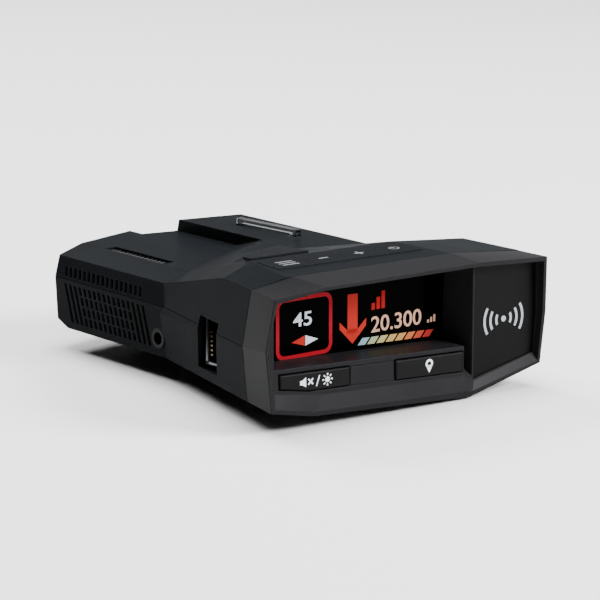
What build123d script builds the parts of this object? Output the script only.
"""Dashboard radar detector, modelled as an assembly of separate pieces.

Millimetres. +Z is up, -Y faces the driver (the display end) and +Y faces the
windscreen. X = 0 is the middle of the rear body. Z = 0 is the flat belly pad
that the detector rests on. The pieces are drawn with Y = 0 at the display rim's
left bottom corner, and written with the belly pad's centre at the origin.
"""

import os
from math import atan, cos, degrees, sin

from build123d import *

os.makedirs("parts", exist_ok=True)

# ---------------------------------------------------------------- dimensions
WALL = 1.6  # case wall
SEAM = 0.16  # open seam between case mouldings
RUN = 0.3  # gap round a button
FIT = 0.05  # clearance of a fixed piece in its seat

# Rear body: a prism with leaning side walls and chamfered roof edges.
FLOOR_Z = 6.6
BELT_Z = 21.8
EAVE_Z = 27.95
ROOF_Z = 30.4
FOOT_HALF = 34.9
BELT_HALF = 36.6
ROOF_HALF = 27.0
REAR_SLOPE = 0.2565  # the rear faces run back towards the middle line
LOBE_X = 5.4  # half width of the notch between the rear lobes
LEFT_LOBE_Y = 124.5
LOBE_DRAFT = 1.4
NOTCH_Y = 112.2
RIGHT_LOBE_Y = 113.4

# Raised block that carries the clear bar, and the ramps that join it.
PLATEAU_Z = 33.93
BLOCK_RIGHT = 25.0
RAMP_FOOT = (-27.2, 63.4, ROOF_Z)

# Display rim: turned a little towards the driver, leaning 2.3 degrees.
RIM_FOOT_Z = 6.57  # lower edge of the side walls at the front
RIM_CORNER = (-50.25, 0.0, RIM_FOOT_Z)
RIM_SLOPE = 0.0605
RIM_TURN = atan(RIM_SLOPE)
RIM_LEAN = 0.0402
SEAM_TURN = 0.0893
SEAM_LEAN = 0.0368
SEAM_START = (-47.05, 13.6)
SHOULDER_Z = 36.5  # where the front section's walls turn into its roof chamfers
HOOD_Z = 38.6  # roof of the front section

RECESS = 12.0  # display glass behind the rim
BAR_DEPTH = 1.5  # button bar behind the rim
PANEL_DEPTH = 2.0  # right-hand panel behind the rim
ROW_ANGLE = -6.0  # roof buttons, turned with the rim
ROOF_KEY = 11.75  # width of one roof button

# Belly pad
PAD_HALF = 16.0
PAD_FRONT = 26.0
PAD_REAR = 98.0

# Jacks on the left side
AUDIO_JACK = (-35.5, 67.3, 11.9)
AUDIO_R = 1.8
COLLAR_R = 2.85
AUDIO_DEPTH = 14.0
JACK_Y = (30.0, 41.4)
JACK_Z = (9.5, 24.4)
JACK_LEAN = 1.4  # the opening leans forwards towards its top

across = Vector(cos(RIM_TURN), -sin(RIM_TURN), 0)
inward = Vector(sin(RIM_TURN), cos(RIM_TURN), 0)


def save(name, part):
    """Label one finished piece and write it, with the belly pad's centre at the origin."""
    piece = part.moved(Location((0, -(PAD_FRONT + PAD_REAR) / 2, 0)))
    piece.label = name
    export_step(piece, f"parts/{name}.step")


def facet(a, b, c, inside=(0, 50, 20)):
    """Plane through three points, facing away from a point inside the body."""
    origin = Vector(*a)
    first = Vector(*b) - origin
    normal = first.cross(Vector(*c) - origin).normalized()
    if normal.dot(Vector(*inside) - origin) > 0:
        normal = normal * -1
    return Plane(origin=origin, x_dir=first, z_dir=normal)


def trim(planes, inset=0.0):
    """Keep what lies behind every plane, each plane moved inwards by inset."""
    for plane in planes:
        split(bisect_by=plane.offset(-inset), keep=Keep.BOTTOM)


def rim_y(x, z):
    """The rim plane's Y at a place across and up."""
    return -RIM_SLOPE * (x - RIM_CORNER[0]) - RIM_LEAN * (z - RIM_CORNER[2])


def seam_y(x, z):
    """The bezel seam plane's Y at a place across and up."""
    return SEAM_START[1] - SEAM_TURN * (x - SEAM_START[0]) - SEAM_LEAN * (z - RIM_FOOT_Z)


def seam_point(x, z):
    """A place on the bezel seam."""
    return (x, seam_y(x, z), z)


def face_plane(depth):
    """Upright plane behind the rim's corner: sketch X runs across, sketch Y is height."""
    origin = Vector(RIM_CORNER[0], RIM_CORNER[1], 0) + inward * depth
    return Plane(origin=origin, x_dir=across, z_dir=inward * -1)


def on_face(across_mm, depth, height):
    """A place given across the rim, behind it and above the table."""
    base = Vector(RIM_CORNER[0], RIM_CORNER[1], 0)
    return base + across * across_mm + inward * depth + Vector(0, 0, height)


def prism(plane, corners, amount, mode=Mode.ADD):
    """Extrude one polygon drawn on a plane."""
    with BuildSketch(plane) as profile:
        with BuildLine():
            Polyline(*corners, close=True)
        make_face()
    extrude(profile.sketch, amount=amount, mode=mode)


def polygon_on(plane, corners):
    """Face whose corners are given in space, on a plane that holds them."""
    flat = [plane.to_local_coords(Vector(*corner)) for corner in corners]
    with BuildSketch(plane) as profile:
        with BuildLine():
            Polyline(*[(place.X, place.Y) for place in flat], close=True)
        make_face()
    return profile.sketch


def pin(place, radius, length, mode=Mode.ADD):
    """Upright round pin that stands on a place."""
    with Locations(Location(place)):
        Cylinder(radius, length, align=(Align.CENTER, Align.CENTER, Align.MIN), mode=mode)


def block(low, high, mode=Mode.ADD):
    """Box between two corners."""
    middle = tuple((a + b) / 2 for a, b in zip(low, high))
    size = tuple(b - a for a, b in zip(low, high))
    with Locations(middle):
        Box(*size, mode=mode)


# ------------------------------------------------------------- case outlines
NECK_BOTTOM = (-35.1, 64.0, RIM_FOOT_Z)
NECK_BELT = (-BELT_HALF, 62.9, BELT_Z)
LEFT_SEAM_FOOT = seam_point(-47.05, RIM_FOOT_Z)
LEFT_SEAM_BELT = seam_point(-49.0, BELT_Z)
LEFT_SEAM_TOP = seam_point(-46.56, 36.58)
LEFT_CREASE = seam_point(-33.5, HOOD_Z)
RIGHT_CREASE = seam_point(18.7, HOOD_Z)
RIGHT_SEAM_TOP = seam_point(42.45, 36.55)
RIGHT_SEAM_BELT = seam_point(43.1, BELT_Z)
RIGHT_SEAM_FOOT = seam_point(41.3, RIM_FOOT_Z)
LEFT_KEEL = seam_point(-33.5, 2.4)
RIGHT_KEEL = seam_point(16.0, 0.4)
LEFT_SHOULDER = (-41.37, 33.3, 36.51)
LEFT_PEAK = (-29.7, 33.2, HOOD_Z)
RIGHT_PEAK = (17.2, 29.0, HOOD_Z)
RIGHT_SHOULDER = (42.5, 26.95, SHOULDER_Z)
RIGHT_NECK_BELT = (BELT_HALF, 58.0, BELT_Z)
RIGHT_NECK_FOOT = (FOOT_HALF, 59.0, RIM_FOOT_Z)

seam_face = facet(LEFT_SEAM_FOOT, LEFT_CREASE, RIGHT_CREASE)

side_planes = []
for side in (-1, 1):
    foot = (side * FOOT_HALF, 0, FLOOR_Z)
    belt = (side * BELT_HALF, 0, BELT_Z)
    eave = (side * FOOT_HALF, 0, EAVE_Z)
    ridge = (side * ROOF_HALF, 0, ROOF_Z)
    side_planes.append(facet(foot, (foot[0], 90, foot[2]), belt))
    side_planes.append(facet(belt, (belt[0], 90, belt[2]), eave))
    side_planes.append(facet(eave, (eave[0], 90, eave[2]), ridge))
    pad = (side * PAD_HALF, 0, 0)
    side_planes.append(facet(foot, (foot[0], 90, foot[2]), pad))

REACH = 29.5  # from the side wall to the lobe's inner corner
left_rear = facet(
    (-FOOT_HALF, LEFT_LOBE_Y - REACH * REAR_SLOPE, FLOOR_Z),
    (-LOBE_X, LEFT_LOBE_Y, FLOOR_Z),
    (-LOBE_X, LEFT_LOBE_Y - LOBE_DRAFT, EAVE_Z),
)
left_rear_chamfer = facet(
    (-FOOT_HALF, LEFT_LOBE_Y - LOBE_DRAFT - REACH * REAR_SLOPE, EAVE_Z),
    (-LOBE_X, LEFT_LOBE_Y - LOBE_DRAFT, EAVE_Z),
    (-LOBE_X, LEFT_LOBE_Y - LOBE_DRAFT - 2.2, ROOF_Z),
)
right_rear = facet(
    (FOOT_HALF, RIGHT_LOBE_Y - REACH * REAR_SLOPE, FLOOR_Z),
    (LOBE_X, RIGHT_LOBE_Y, FLOOR_Z),
    (LOBE_X, RIGHT_LOBE_Y - LOBE_DRAFT, ROOF_Z),
)
rear_floor = facet((-30, PAD_REAR, 0), (30, PAD_REAR, 0), (0, 112, FLOOR_Z))

ramp = facet(RAMP_FOOT, LEFT_PEAK, (5.1, 80.1, PLATEAU_Z))
left_ramp = facet(LEFT_SHOULDER, LEFT_PEAK, RAMP_FOOT)
back_ramp = facet(LEFT_PEAK, RIGHT_PEAK, (4.0, 62.2, PLATEAU_Z))
right_ramp = facet(RIGHT_PEAK, RIGHT_SHOULDER, (BLOCK_RIGHT, 45.1, PLATEAU_Z))
block_rear = facet((5.3, 111.8, ROOF_Z), (25.0, 106.6, ROOF_Z), (5.3, 110.9, PLATEAU_Z))
block_right = facet((BLOCK_RIGHT, 0, PLATEAU_Z), (BLOCK_RIGHT, 90, PLATEAU_Z), (25.6, 0, ROOF_Z))

wing_planes = [
    facet(LEFT_SEAM_FOOT, LEFT_SEAM_BELT, NECK_BOTTOM),
    facet(LEFT_SEAM_BELT, LEFT_SHOULDER, NECK_BELT),
    facet(LEFT_SEAM_TOP, LEFT_SHOULDER, LEFT_PEAK),
    facet(RIGHT_CREASE, RIGHT_PEAK, RIGHT_SHOULDER),
    facet(RIGHT_SEAM_TOP, RIGHT_SHOULDER, RIGHT_SEAM_BELT),
    facet(RIGHT_SEAM_BELT, (43.3, 30, BELT_Z), RIGHT_SEAM_FOOT),
    facet(RIGHT_SHOULDER, (43.3, 30, BELT_Z), RIGHT_NECK_BELT),
    facet((41.6, 30, RIM_FOOT_Z), (43.3, 30, BELT_Z), RIGHT_NECK_BELT),
    facet(LEFT_SEAM_FOOT, NECK_BOTTOM, LEFT_KEEL),
    facet(RIGHT_SEAM_FOOT, RIGHT_NECK_FOOT, RIGHT_KEEL),
    facet(LEFT_KEEL, RIGHT_KEEL, (0, PAD_FRONT + 8, 0)),
    left_ramp,
    back_ramp,
    right_ramp,
]


def rear_lobe(left, inset):
    """One half of the rear body, trimmed to its leaning faces."""
    low, high = (-45, -LOBE_X) if left else (-LOBE_X - 1, 45)
    with BuildPart() as lobe:
        block((low, 22, 0), (high, 130, ROOF_Z - inset))
        trim(side_planes + [rear_floor], inset)
        trim([left_rear, left_rear_chamfer] if left else [right_rear], inset)
        split(bisect_by=Plane.XY.offset(inset), keep=Keep.TOP)
        if left:
            split(bisect_by=Plane.YZ.offset(-LOBE_X - inset), keep=Keep.BOTTOM)
    return lobe.part


def middle_body(inset):
    """The part between the lobes, which stops at the sensor notch."""
    with BuildPart() as middle:
        block((-LOBE_X - 12, 22, inset), (LOBE_X + 4, NOTCH_Y - inset, ROOF_Z - inset))
        trim(side_planes + [rear_floor], inset)
    return middle.part


def plateau(inset):
    """The level step behind the front section, cut by the two ramps."""
    with BuildPart() as step:
        block((-34, 22, 20), (BLOCK_RIGHT, 96, PLATEAU_Z - inset))
        trim([ramp, left_ramp, block_right], inset)
    return step.part


def raised_block(inset):
    """The block on the right of the roof that carries the clear bar."""
    with BuildPart() as raised:
        block((LOBE_X + inset, 30, 20), (BLOCK_RIGHT + 5, 125, PLATEAU_Z - inset))
        trim([block_rear, block_right, right_rear], inset)
    return raised.part


def wing(inset):
    """The wide front section, between the bezel seam and the neck."""
    with BuildPart() as front:
        block((-60, -5, inset), (60, 84, HOOD_Z - inset))
        trim(wing_planes, inset)
        split(bisect_by=ramp.offset(-inset), keep=Keep.BOTTOM)
    return front.part


def body_solid(inset):
    """The whole case as a solid, each face moved inwards by inset."""
    with BuildPart() as solid:
        add(rear_lobe(True, inset))
        add(rear_lobe(False, inset))
        add(middle_body(inset))
        add(plateau(inset))
        add(raised_block(inset))
        add(wing(inset))
    return solid.part


outer_body = body_solid(0.0)
inner_body = body_solid(WALL)

with BuildPart() as case_shell:
    add(outer_body)
    add(inner_body, mode=Mode.SUBTRACT)
    split(bisect_by=seam_face.offset(-SEAM / 2), keep=Keep.BOTTOM)

# ------------------------------------------------------------------ vents
VENT_PITCH = 2.33
VENT_COLUMNS = 17
VENT_FIRST_Y = 110.6
VENT_TOP, VENT_BOTTOM = 20.4, 8.9
VENT_SLANT = 0.145  # the columns lean forwards towards their feet
SLOT = 1.15
BLIND = 3  # columns at each end that are grooves only
ROWS = 4
RIB = 0.6
GROOVE = 0.7
UPPER_BOTTOM, UPPER_TOP = 22.5, 25.3
UPPER_SLANT = 0.28
RIGHT_VENT_SHIFT = -11.0


def power_opening():
    """Leaning opening in the left flare, in front of the power jack."""
    low, high = JACK_Z
    with BuildSketch(Plane.YZ.offset(-60)) as opening:
        with BuildLine():
            Polyline(
                (JACK_Y[0] + JACK_LEAN, low),
                (JACK_Y[1] + JACK_LEAN, low),
                (JACK_Y[1] - JACK_LEAN, high),
                (JACK_Y[0] - JACK_LEAN, high),
                close=True,
            )
        make_face()
    extrude(opening.sketch, amount=24, mode=Mode.SUBTRACT)


def slanted_bar(y, top, bottom, slant):
    """Corners of one leaning slot, as (Y, Z)."""
    drop = (top - bottom) * slant
    return [
        (y - SLOT / 2, top),
        (y + SLOT / 2, top),
        (y + SLOT / 2 - drop, bottom),
        (y - SLOT / 2 - drop, bottom),
    ]


def lower_vents(side, shift):
    """Leaning slots and grooves in one side wall of the lower case."""
    row = (VENT_TOP - VENT_BOTTOM + RIB) / ROWS
    with BuildSketch(Plane.YZ) as open_slots:
        for column in range(BLIND, VENT_COLUMNS - BLIND):
            for step in range(ROWS):
                top = VENT_TOP - step * row
                y = VENT_FIRST_Y + shift - column * VENT_PITCH
                y -= (VENT_TOP - top) * VENT_SLANT
                with BuildLine():
                    Polyline(*slanted_bar(y, top, top - row + RIB, VENT_SLANT), close=True)
                make_face()
    with BuildSketch(Plane.YZ) as grooves:
        for column in list(range(BLIND)) + list(range(VENT_COLUMNS - BLIND, VENT_COLUMNS)):
            y = VENT_FIRST_Y + shift - column * VENT_PITCH
            with BuildLine():
                Polyline(*slanted_bar(y, VENT_TOP, VENT_BOTTOM, VENT_SLANT), close=True)
            make_face()
    cut_from_side(open_slots.sketch, side, BELT_HALF - 6, 12)
    cut_from_side(grooves.sketch, side, BELT_HALF - 1.7 - GROOVE, 12)


def upper_vents(side, shift):
    """Short slots in one side wall of the upper case."""
    with BuildSketch(Plane.YZ) as open_slots:
        for column in range(BLIND + 1, VENT_COLUMNS - BLIND):
            y = VENT_FIRST_Y + shift - column * (VENT_PITCH - 0.1)
            with BuildLine():
                Polyline(*slanted_bar(y, UPPER_TOP, UPPER_BOTTOM, UPPER_SLANT), close=True)
            make_face()
    with BuildSketch(Plane.YZ) as grooves:
        blind = list(range(BLIND + 1)) + list(range(VENT_COLUMNS - BLIND, VENT_COLUMNS))
        for column in blind:
            y = VENT_FIRST_Y + shift - column * (VENT_PITCH - 0.1)
            with BuildLine():
                Polyline(*slanted_bar(y, UPPER_TOP, UPPER_BOTTOM, UPPER_SLANT), close=True)
            make_face()
    cut_from_side(open_slots.sketch, side, BELT_HALF - 6, 12)
    cut_from_side(grooves.sketch, side, BELT_HALF - 1.5, 12)


def cut_from_side(profile, side, start, depth):
    """Cut a profile drawn on the middle plane outwards through one side wall."""
    moved = [face.moved(Location((side * start, 0, 0))) for face in profile.faces()]
    extrude(moved, amount=depth, dir=(side, 0, 0), mode=Mode.SUBTRACT)


# ------------------------------------------------------------ roof features
key_origin = Vector(-30.96, 19.75, 0)
row_plane = Plane(origin=key_origin, x_dir=Vector(1, 0, 0).rotate(Axis.Z, ROW_ANGLE), z_dir=(0, 0, 1))
KEY_DEPTH = 11.2
KEYS = ("menu_button", "minus_button", "plus_button", "power_button")
KEY_PROUD = 0.2
KEY_GAP = 0.28

VENT_X = (-26.6, -22.6)
ROOF_VENT_Y = (76.5, 104.6)
PLATE = [(-27.7, 35.6), (-9.1, 33.9), (-10.4, 44.8), (-25.6, 41.2), (-27.6, 39.4)]
PLATE_Z = (37.75, 38.75)
SLOT_Z = (35.5, 37.6)

# Window for the rear laser sensor, at the bottom of the notch.
SENSOR_HALF = 4.6
SENSOR_Z = (12.0, 27.0)

# Holes for the case screws, and the posts that take them, as (X, Y).
POSTS = [(-29.5, 56.0), (30.0, 52.0), (-30.3, 104.0), (28.5, 97.0)]
BOARD_HOLES = [(-22.0, 60.8), (24.0, 59.8), (-3.5, 96.0), (24.0, 91.5)]
BOARD_Z = (8.9, 10.1)
POST_R = 3.0
BOARD_POST_R = 2.6
POST_FOOT_Z = 0.6  # posts start inside the floor of the lower case
SHANK_R = 1.0
HEAD_R = 2.0
HEAD_THICK = 1.8
HEAD_WELL = 9.4  # depth of the wells for the case screws' heads
SPEAKER = (0.0, 62.0)
SPEAKER_R = 12.0
MAGNET_R = 6.5
GRILLE_R = 11.0
GRILLE_PITCH = 2.4
LABEL_HALF = 12.0
LABEL_Y = (78.0, 94.0)
LABEL_Z = (0.02, 0.22)



def sensor_window(low, high):
    """Cut the rear sensor's window between two heights."""
    block((-SENSOR_HALF - FIT, 108, low), (SENSOR_HALF + FIT, 115, high), mode=Mode.SUBTRACT)


# --------------------------------------------------------------- lower case
with BuildPart() as lower_case:
    add(case_shell.part)
    split(bisect_by=Plane.XY.offset(BELT_Z - SEAM / 2), keep=Keep.BOTTOM)
    for x, y in POSTS:
        pin((x, y, POST_FOOT_Z), POST_R, BELT_Z - POST_FOOT_Z - SEAM)
    for x, y in BOARD_HOLES:
        pin((x, y, POST_FOOT_Z), BOARD_POST_R, BOARD_Z[0] - POST_FOOT_Z - FIT)
    add(outer_body, mode=Mode.INTERSECT)
    for x, y in POSTS:
        pin((x, y, 0), SHANK_R + 0.15, BELT_Z + 1, mode=Mode.SUBTRACT)
        pin((x, y, 0), HEAD_R + 0.3, HEAD_WELL, mode=Mode.SUBTRACT)
    lower_vents(-1, 0.0)
    lower_vents(1, RIGHT_VENT_SHIFT)
    with Locations(Location(AUDIO_JACK, (0, 90, 0))):
        Cylinder(COLLAR_R + 0.02, 8, mode=Mode.SUBTRACT)
    power_opening()
    with BuildSketch(Plane.XY) as grille:
        for step in range(-4, 5):
            with Locations((SPEAKER[0], SPEAKER[1] + step * GRILLE_PITCH)):
                length = 2 * (GRILLE_R**2 - (step * GRILLE_PITCH) ** 2) ** 0.5
                SlotOverall(length, 1.1)
    extrude(grille.sketch, amount=3.2, mode=Mode.SUBTRACT)
    block(
        (-LABEL_HALF - FIT, LABEL_Y[0] - FIT, -0.1),
        (LABEL_HALF + FIT, LABEL_Y[1] + FIT, LABEL_Z[1] + 0.03),
        mode=Mode.SUBTRACT,
    )
    sensor_window(SENSOR_Z[0] - FIT, BELT_Z + 1)
save("lower_case", lower_case.part)

# --------------------------------------------------------------- upper case
with BuildPart() as upper_case:
    add(case_shell.part)
    split(bisect_by=Plane.XY.offset(BELT_Z + SEAM / 2), keep=Keep.TOP)
    for x, y in POSTS:
        pin((x, y, BELT_Z + SEAM), POST_R, 12.0)
    add(outer_body, mode=Mode.INTERSECT)
    for x, y in POSTS:
        pin((x, y, BELT_Z - 1), SHANK_R + FIT, 7.0, mode=Mode.SUBTRACT)
    upper_vents(-1, 0.3)
    upper_vents(1, RIGHT_VENT_SHIFT)
    power_opening()
    with BuildSketch(row_plane) as key_window:
        Rectangle(4 * ROOF_KEY + KEY_GAP, KEY_DEPTH + 2 * KEY_GAP, align=(Align.MIN, Align.MIN))
    window = [face.moved(Location((0, -KEY_GAP, 30))) for face in key_window.sketch.faces()]
    extrude(window, amount=14, dir=(0, 0, 1), mode=Mode.SUBTRACT)
    block(
        (VENT_X[0], ROOF_VENT_Y[0], ROOF_Z - 2.6),
        (VENT_X[1], ROOF_VENT_Y[1], ROOF_Z + 1),
        mode=Mode.SUBTRACT,
    )
    with BuildSketch(Plane.XY.offset(PLATE_Z[0] - 0.05)) as seat:
        with BuildLine():
            Polyline(*PLATE, close=True)
        make_face()
        offset(amount=0.25, kind=Kind.INTERSECTION)
    extrude(seat.sketch, amount=3, mode=Mode.SUBTRACT)
    with BuildSketch(Plane.XY.offset(SLOT_Z[0])) as front_gap:
        with BuildLine():
            Polyline((-27.7, 34.9), (-9.1, 33.3), (-9.1, 34.4), (-27.7, 36.0), close=True)
        make_face()
    extrude(front_gap.sketch, amount=6, mode=Mode.SUBTRACT)
    block((-26.0, 36.2, SLOT_Z[0]), (-11.0, 60, SLOT_Z[1] + 0.2), mode=Mode.SUBTRACT)
    sensor_window(BELT_Z - 1, SENSOR_Z[1] + FIT)
save("upper_case", upper_case.part)

# -------------------------------------------------------------- front bezel
RIM = [
    (-50.25, 6.57),
    (-36.49, 3.78),
    (16.70, 0.59),
    (41.60, 6.53),
    (42.78, 21.15),
    (42.39, 36.58),
    (17.98, 38.01),
    (-34.03, 38.15),
    (-49.99, 36.91),
    (-52.49, 23.36),
]
SEAM_RING = [
    LEFT_SEAM_FOOT,
    LEFT_KEEL,
    RIGHT_KEEL,
    RIGHT_SEAM_FOOT,
    RIGHT_SEAM_BELT,
    RIGHT_SEAM_TOP,
    RIGHT_CREASE,
    LEFT_CREASE,
    LEFT_SEAM_TOP,
    LEFT_SEAM_BELT,
]
rim_ring = [(x, rim_y(x, z), z) for x, z in RIM]
rim_plane = facet(rim_ring[0], rim_ring[2], rim_ring[6])
rim_outline = polygon_on(rim_plane, rim_ring)
seam_outline = polygon_on(seam_face, SEAM_RING)

with BuildPart() as bezel_outer:
    loft([rim_outline, seam_outline], ruled=True)
    split(bisect_by=seam_face.offset(SEAM / 2), keep=Keep.TOP)

HOLLOW_FROM = 4.6
with BuildSketch(rim_plane) as rim_inner:
    add(rim_plane.to_local_coords(rim_outline))
    offset(amount=-WALL, kind=Kind.INTERSECTION)
with BuildSketch(seam_face) as seam_inner:
    add(seam_face.to_local_coords(seam_outline))
    offset(amount=-WALL, kind=Kind.INTERSECTION)
with BuildPart() as bezel_hollow:
    loft([rim_inner.sketch, seam_inner.sketch], ruled=True)
    split(bisect_by=face_plane(HOLLOW_FROM), keep=Keep.BOTTOM)

# Polygons on the face, as (across, height).
TRAY_FLOOR = [
    (2.3, 11.2),
    (18.2, 8.8),
    (65.8, 6.5),
    (69.5, 4.6),
    (91.0, 9.3),
    (91.8, 21.2),
    (91.8, 35.4),
    (68.4, 36.8),
    (16.4, 37.1),
    (1.7, 35.7),
    (0.2, 23.3),
]
TRAY_MOUTH = [
    (1.2, 7.5),
    (14.0, 4.7),
    (66.6, 1.6),
    (67.8, 1.7),
    (91.1, 7.3),
    (92.0, 21.2),
    (91.8, 35.4),
    (68.4, 36.8),
    (16.4, 37.1),
    (1.5, 35.7),
    (-1.1, 23.3),
]
MOUTH_AHEAD = 2.5
reach = 1 + MOUTH_AHEAD / BAR_DEPTH
TRAY_AHEAD = [
    (fu + (mu - fu) * reach, fz + (mz - fz) * reach)
    for (fu, fz), (mu, mz) in zip(TRAY_FLOOR, TRAY_MOUTH)
]
WELL_MOUTH = [
    (1.9, 17.55),
    (65.7, 14.72),
    (65.7, 7.2),
    (68.6, 6.0),
    (68.6, 36.7),
    (16.4, 37.0),
    (1.9, 35.6),
]
WELL_FLOOR = [
    (6.0, 16.95),
    (65.0, 14.85),
    (65.0, 14.4),
    (65.9, 14.3),
    (65.9, 35.8),
    (16.4, 35.9),
    (6.0, 34.6),
]


def face_polygon(depth, corners, grow=0.0):
    """Polygon on the face at a depth behind the rim, grown by an offset."""
    with BuildSketch(face_plane(depth)) as profile:
        with BuildLine():
            Polyline(*corners, close=True)
        make_face()
        if grow:
            offset(amount=grow, kind=Kind.INTERSECTION)
    return profile.sketch


with BuildPart() as tray:
    loft([face_polygon(-MOUTH_AHEAD, TRAY_AHEAD), face_polygon(BAR_DEPTH, TRAY_FLOOR)], ruled=True)
with BuildPart() as well:
    loft([face_polygon(BAR_DEPTH, WELL_MOUTH), face_polygon(RECESS, WELL_FLOOR)], ruled=True)
with BuildPart() as sleeve:
    loft(
        [face_polygon(BAR_DEPTH, WELL_MOUTH, 1.2), face_polygon(RECESS, WELL_FLOOR, 1.2)],
        ruled=True,
    )
    add(bezel_outer.part, mode=Mode.INTERSECT)

MUTE = [(3.6, 15.95), (26.2, 15.0), (26.2, 9.95), (13.2, 10.5), (3.7, 12.2)]
MARK = [(41.8, 14.3), (65.1, 13.3), (65.1, 7.8), (41.9, 8.95)]
FILLER = [(26.8, 14.85), (41.2, 14.25), (41.3, 9.05), (26.8, 9.8)]
PANEL = [(69.2, 5.05), (90.7, 9.6), (91.5, 21.2), (91.5, 35.3), (69.2, 36.55)]
PANEL_THICK = 1.3

with BuildPart() as front_bezel:
    add(bezel_outer.part)
    add(bezel_hollow.part, mode=Mode.SUBTRACT)
    add(sleeve.part)
    add(tray.part, mode=Mode.SUBTRACT)
    extrude(face_polygon(BAR_DEPTH - 0.2, WELL_MOUTH), amount=-0.25, mode=Mode.SUBTRACT)
    add(well.part, mode=Mode.SUBTRACT)
    extrude(face_polygon(RECESS - 0.2, WELL_FLOOR), amount=-4, mode=Mode.SUBTRACT)
    for key in (MUTE, MARK):
        extrude(face_polygon(0, key, RUN), amount=-8, mode=Mode.SUBTRACT)
    extrude(face_polygon(0, FILLER, 0.1), amount=-BAR_DEPTH - 1.4, mode=Mode.SUBTRACT)
    extrude(
        face_polygon(0, PANEL, 0.1), amount=-PANEL_DEPTH - PANEL_THICK - 0.05, mode=Mode.SUBTRACT
    )
save("front_bezel", front_bezel.part)

with BuildPart() as logo_panel:
    extrude(face_polygon(PANEL_DEPTH, PANEL), amount=-PANEL_THICK)
save("logo_panel", logo_panel.part)

# ------------------------------------------------------------ front buttons
FRONT_PROUD = 0.5
FLANGE = 0.55  # thickness of the flange that holds a button in


def front_button(name, outline, flange):
    """One face button: a cap in its window and a wider flange behind."""
    with BuildPart() as button:
        extrude(face_polygon(BAR_DEPTH - FRONT_PROUD, outline), amount=-4.6)
        front = button.faces().sort_by(Axis.Y)[0]
        chamfer(front.edges(), 0.3)
        low, high = flange
        prism(
            face_plane(HOLLOW_FROM + 0.85),
            [(low[0], low[1]), (high[0], low[1]), (high[0], high[1]), (low[0], high[1])],
            FLANGE,
        )
    save(name, button.part)


front_button("mute_button", MUTE, ((2.9, 10.2), (27.0, 14.8)))
front_button("mark_button", MARK, ((41.1, 8.3), (64.3, 13.1)))

with BuildPart() as button_filler:
    extrude(face_polygon(BAR_DEPTH - 0.1, FILLER), amount=-1.4)
save("button_filler", button_filler.part)

# ------------------------------------------------------------- roof buttons
for index, name in enumerate(KEYS):
    with BuildPart() as key:
        left = KEY_GAP + index * ROOF_KEY
        width = ROOF_KEY - KEY_GAP
        with BuildSketch(row_plane.offset(HOOD_Z - 2.0)) as cap:
            with Locations((left, 0)):
                Rectangle(width, KEY_DEPTH, align=(Align.MIN, Align.MIN))
        extrude(cap.sketch, amount=2.0 + KEY_PROUD)
        top = key.faces().sort_by(Axis.Z)[-1]
        chamfer(top.edges(), 0.18)
        with BuildSketch(row_plane.offset(HOOD_Z - 3.0)) as lip:
            with Locations((left, -1.1)):
                Rectangle(width, KEY_DEPTH + 2.2, align=(Align.MIN, Align.MIN))
        extrude(lip.sketch, amount=1.0)
        with BuildSketch(row_plane.offset(HOOD_Z - 5.0)) as stem:
            with Locations((left + width / 2, KEY_DEPTH / 2)):
                Circle(1.4)
        extrude(stem.sketch, amount=2.2)
    save(name, key.part)

KEY_BOARD_Z = HOOD_Z - 8.8
with BuildPart() as key_board:
    with BuildSketch(row_plane.offset(KEY_BOARD_Z)) as strip:
        Rectangle(4 * ROOF_KEY, KEY_DEPTH, align=(Align.MIN, Align.MIN))
    extrude(strip.sketch, amount=1.0)
save("key_board", key_board.part)

with BuildPart() as roof_switches:
    for index in range(4):
        middle = (KEY_GAP / 2 + (index + 0.5) * ROOF_KEY, KEY_DEPTH / 2)
        with BuildSketch(row_plane.offset(KEY_BOARD_Z + 1.0)) as body:
            with Locations(middle):
                Rectangle(4.6, 4.6)
        extrude(body.sketch, amount=1.4)
        with BuildSketch(row_plane.offset(KEY_BOARD_Z + 2.3)) as plunger:
            with Locations(middle):
                Circle(1.1)
        extrude(plunger.sketch, amount=0.9)
save("roof_switches", roof_switches.part)

# ------------------------------------------------------------------ display
LENS = [(5.0, 13.6), (67.0, 13.2), (67.0, 36.0), (17.0, 36.0), (5.0, 34.3)]
with BuildPart() as display_lens:
    extrude(face_polygon(RECESS + 0.05, LENS), amount=-1.0)
save("display_lens", display_lens.part)

with BuildPart() as oled_panel:
    prism(face_plane(RECESS + 1.1), [(6.5, 14.2), (66.0, 14.2), (66.0, 34.0), (6.5, 34.0)], -1.8)
save("oled_panel", oled_panel.part)

with BuildPart() as display_frame:
    prism(face_plane(RECESS + 3.0), [(6.0, 13.7), (66.6, 13.7), (66.6, 34.4), (6.0, 34.4)], -1.2)
    with Locations(Location(on_face(36.3, RECESS + 3.6, 24.0), (90, 0, 0))):
        Box(50, 12, 12, mode=Mode.SUBTRACT)
save("display_frame", display_frame.part)

with BuildPart() as display_flex:
    prism(face_plane(RECESS + 4.3), [(30, 12.0), (44, 12.0), (44, 22), (30, 22)], -0.3)
    prism(face_plane(RECESS + 4.3), [(30, 11.8), (44, 11.8), (44, 12.1), (30, 12.1)], -14)
save("display_flex", display_flex.part)

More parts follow.
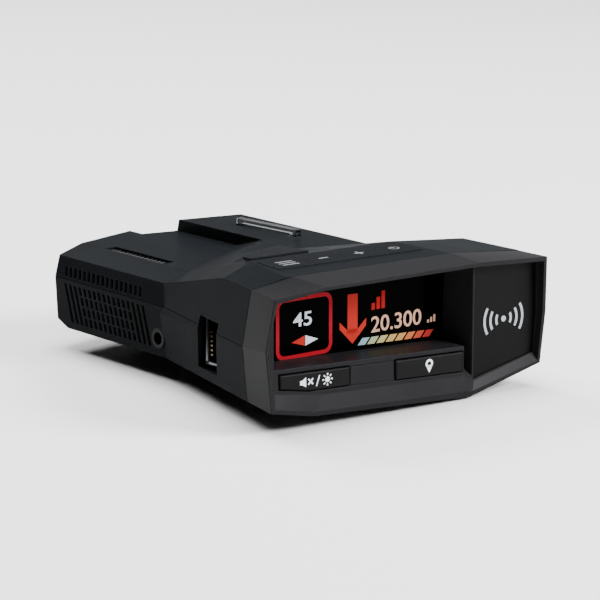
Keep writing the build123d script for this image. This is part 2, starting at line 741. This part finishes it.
# ------------------------------------------------------------ front switches
SWITCH_HEIGHT = 2.8
with BuildPart() as switch_board:
    prism(face_plane(9.0), [(6.0, 8.6), (63.2, 8.2), (63.2, 12.2), (6.0, 12.2)], -1.0)
save("switch_board", switch_board.part)
with BuildPart() as front_switches:
    for u, z in ((15.0, 11.4), (53.5, 10.6)):
        low, high = (u - 2, z - 1.4), (u + 2, z + 1.4)
        corners = [low, (high[0], low[1]), high, (low[0], high[1])]
        prism(face_plane(9.0), corners, SWITCH_HEIGHT)
save("front_switches", front_switches.part)

# ---------------------------------------------------------- roof fittings
with BuildPart() as bracket_plate:
    with BuildSketch(Plane.XY.offset(PLATE_Z[0])) as plate:
        with BuildLine():
            Polyline(*PLATE, close=True)
        make_face()
    extrude(plate.sketch, amount=PLATE_Z[1] - PLATE_Z[0])
    chamfer(bracket_plate.faces().sort_by(Axis.Z)[-1].edges(), 0.2)
save("bracket_plate", bracket_plate.part)

with BuildPart() as roof_vent_grille:
    block((VENT_X[0] + 0.05, ROOF_VENT_Y[0] + 0.05, 26.4), (VENT_X[1] - 0.05, ROOF_VENT_Y[1] - 0.05, 26.9))
    ribs = 15
    pitch = (ROOF_VENT_Y[1] - ROOF_VENT_Y[0] - 1.2) / (ribs - 1)
    for step in range(ribs):
        y = ROOF_VENT_Y[0] + 0.2 + step * pitch
        block((VENT_X[0] + 0.1, y, 26.4), (VENT_X[1] - 0.1, y + 0.7, ROOF_Z - 0.8))
    add(outer_body, mode=Mode.INTERSECT)
save("roof_vent_grille", roof_vent_grille.part)

BAR_ENDS = ((14.8, 94.2), (16.5, 68.4))
BAR_WIDTH = 2.3
BAR_HEIGHT = 1.95
bar_angle = degrees(atan((BAR_ENDS[1][0] - BAR_ENDS[0][0]) / (BAR_ENDS[0][1] - BAR_ENDS[1][1])))
bar_length = Vector(*BAR_ENDS[0], 0).sub(Vector(*BAR_ENDS[1], 0)).length
bar_plane = Plane(
    origin=(BAR_ENDS[1][0], BAR_ENDS[1][1], PLATEAU_Z),
    x_dir=Vector(0, 1, 0).rotate(Axis.Z, bar_angle),
    z_dir=(0, 0, 1),
)
with BuildPart() as clear_bar:
    with BuildSketch(bar_plane) as rail:
        Rectangle(bar_length, BAR_WIDTH, align=(Align.MIN, Align.CENTER))
    extrude(rail.sketch, amount=BAR_HEIGHT)
    fillet(clear_bar.edges().filter_by(Axis.Z), 0.5)
    with BuildSketch(bar_plane) as under:
        with Locations((2.6, 0)):
            Rectangle(bar_length - 5.2, BAR_WIDTH + 1, align=(Align.MIN, Align.CENTER))
    extrude(under.sketch, amount=0.75, mode=Mode.SUBTRACT)
save("clear_bar", clear_bar.part)

# ------------------------------------------------------------- rear sensor
with BuildPart() as laser_lens:
    block((-SENSOR_HALF, 110.3, SENSOR_Z[0]), (SENSOR_HALF, NOTCH_Y - 0.1, SENSOR_Z[1]))
    with Locations(Location((0, NOTCH_Y - 0.1, 19.5), (90, 0, 0))):
        Cylinder(3.2, 1.2)
save("laser_lens", laser_lens.part)
with BuildPart() as laser_sensor:
    block((-4.2, 102.0, 14.0), (4.2, 110.1, 25.0))
save("laser_sensor", laser_sensor.part)

# ------------------------------------------------------------------- boards
BOARD = [
    (-29.0, 59.6),
    (-29.0, 99.5),
    (-25.0, 99.5),
    (-25.0, 108.0),
    (-8.0, 110.0),
    (-8.0, 100.0),
    (25.0, 99.0),
    (25.0, 93.0),
    (29.5, 93.0),
    (29.5, 56.5),
    (26.5, 56.5),
    (26.5, 28.0),
    (-26.0, 31.0),
    (-26.0, 59.6),
]
with BuildPart() as main_board:
    with BuildSketch(Plane.XY.offset(BOARD_Z[0])) as sheet:
        with BuildLine():
            Polyline(*BOARD, close=True)
        make_face()
        with Locations(*BOARD_HOLES):
            Circle(1.15, mode=Mode.SUBTRACT)
    extrude(sheet.sketch, amount=BOARD_Z[1] - BOARD_Z[0])
save("main_board", main_board.part)


def cross_recess(x, y, low, high):
    """Cut a cross into a screw head."""
    for long, short in ((1.1, 0.22), (0.22, 1.1)):
        block((x - long, y - short, low), (x + long, y + short, high), mode=Mode.SUBTRACT)


with BuildPart() as board_screws:
    for x, y in BOARD_HOLES:
        pin((x, y, BOARD_Z[1]), HEAD_R, 1.2)
        cross_recess(x, y, BOARD_Z[1] + 0.7, BOARD_Z[1] + 1.3)
save("board_screws", board_screws.part)

with BuildPart() as case_screws:
    for x, y in POSTS:
        pin((x, y, HEAD_WELL - HEAD_THICK - 0.2), HEAD_R, HEAD_THICK)
        pin((x, y, HEAD_WELL - HEAD_THICK - 0.2), SHANK_R, 19.0)
        cross_recess(x, y, HEAD_WELL - HEAD_THICK - 0.3, HEAD_WELL - HEAD_THICK + 0.5)
save("case_screws", case_screws.part)

# Chips and capacitors in the free front half of the main board, as (X, Y, size, height).
CHIPS = [(-11.0, 45.0, 12.0, 1.6), (7.0, 44.0, 8.0, 1.2), (19.0, 50.0, 6.0, 1.8), (-2.0, 55.5, 4.0, 1.1)]
CAPACITORS = [(-21.0, 39.0, 3.1, 7.0), (20.5, 36.5, 2.6, 6.0), (13.5, 35.5, 2.6, 6.0)]
with BuildPart() as board_chips:
    for x, y, size, tall in CHIPS:
        block((x - size / 2, y - size / 2, BOARD_Z[1]), (x + size / 2, y + size / 2, BOARD_Z[1] + tall))
    for x, y, radius, tall in CAPACITORS:
        pin((x, y, BOARD_Z[1]), radius, tall)
save("board_chips", board_chips.part)


def horn(name, x, throat_y, mouth_y):
    """A cast horn antenna: a block with a flared square mouth."""
    low, high = min(throat_y, mouth_y), max(throat_y, mouth_y)
    flare = 14.0 if mouth_y > throat_y else -14.0
    with BuildPart() as cast:
        block((x - 10.0, low, BOARD_Z[1] + 0.3), (x + 10.0, high, 26.2))
        with BuildSketch(Plane(origin=(x, mouth_y, 18.3), x_dir=(1, 0, 0), z_dir=(0, 1, 0))) as mouth:
            Rectangle(17.5, 13.5)
        with BuildSketch(
            Plane(origin=(x, mouth_y - flare, 18.3), x_dir=(1, 0, 0), z_dir=(0, 1, 0))
        ) as throat:
            Rectangle(7.0, 3.5)
        loft([mouth.sketch, throat.sketch], ruled=True, mode=Mode.SUBTRACT)
    save(name, cast.part)


horn("forward_horn", -17.0, 78.0, 109.5)
horn("backward_horn", 15.5, 88.5, 62.5)

with BuildPart() as shield_can:
    block((-18.5, 64.5, BOARD_Z[1] + 0.1), (3.0, 76.0, 16.0))
    block((-18.1, 64.9, BOARD_Z[1]), (2.6, 75.6, 15.6), mode=Mode.SUBTRACT)
save("shield_can", shield_can.part)

with BuildPart() as gps_patch:
    block((7.3, 66.0, 27.6), (23.2, 81.9, 31.4))
save("gps_patch", gps_patch.part)

with BuildPart() as speaker:
    pin((*SPEAKER, WALL + 0.2), SPEAKER_R, 2.0)
    pin((*SPEAKER, WALL + 2.2), MAGNET_R, 3.6)
save("speaker", speaker.part)

with BuildPart() as base_label:
    block((-LABEL_HALF, LABEL_Y[0], LABEL_Z[0]), (LABEL_HALF, LABEL_Y[1], LABEL_Z[1]))
save("base_label", base_label.part)

# -------------------------------------------------------------------- jacks
with BuildPart() as audio_jack:
    x, y, z = AUDIO_JACK
    block((x + 2.1, y - 3.2, BOARD_Z[1] + 0.1), (x + 1.7 + AUDIO_DEPTH, y + 3.2, z + 2.9))
    with Locations(Location((x - 0.3, y, z), (0, 90, 0))):
        Cylinder(COLLAR_R, 3.0, align=(Align.CENTER, Align.CENTER, Align.MIN))
    with Locations(Location((x - 1, y, z), (0, 90, 0))):
        Cylinder(AUDIO_R, AUDIO_DEPTH, align=(Align.CENTER, Align.CENTER, Align.MIN), mode=Mode.SUBTRACT)
save("audio_jack", audio_jack.part)

with BuildPart() as power_jack:
    block((-39.4, JACK_Y[0] + 0.3, JACK_Z[0] + 0.75), (-27.5, JACK_Y[1] - 0.3, JACK_Z[1] - 0.3))
    block(
        (-41, JACK_Y[0] + 1.3, JACK_Z[0] + 1.8),
        (-29.5, JACK_Y[1] - 1.9, JACK_Z[1] - 1.6),
        mode=Mode.SUBTRACT,
    )
save("power_jack", power_jack.part)

with BuildPart() as jack_contacts:
    for step in range(6):
        z = JACK_Z[0] + 3.4 + step * 1.27
        block((-39.0, JACK_Y[1] - 2.9, z), (-29.5, JACK_Y[1] - 1.9, z + 0.5))
save("jack_contacts", jack_contacts.part)
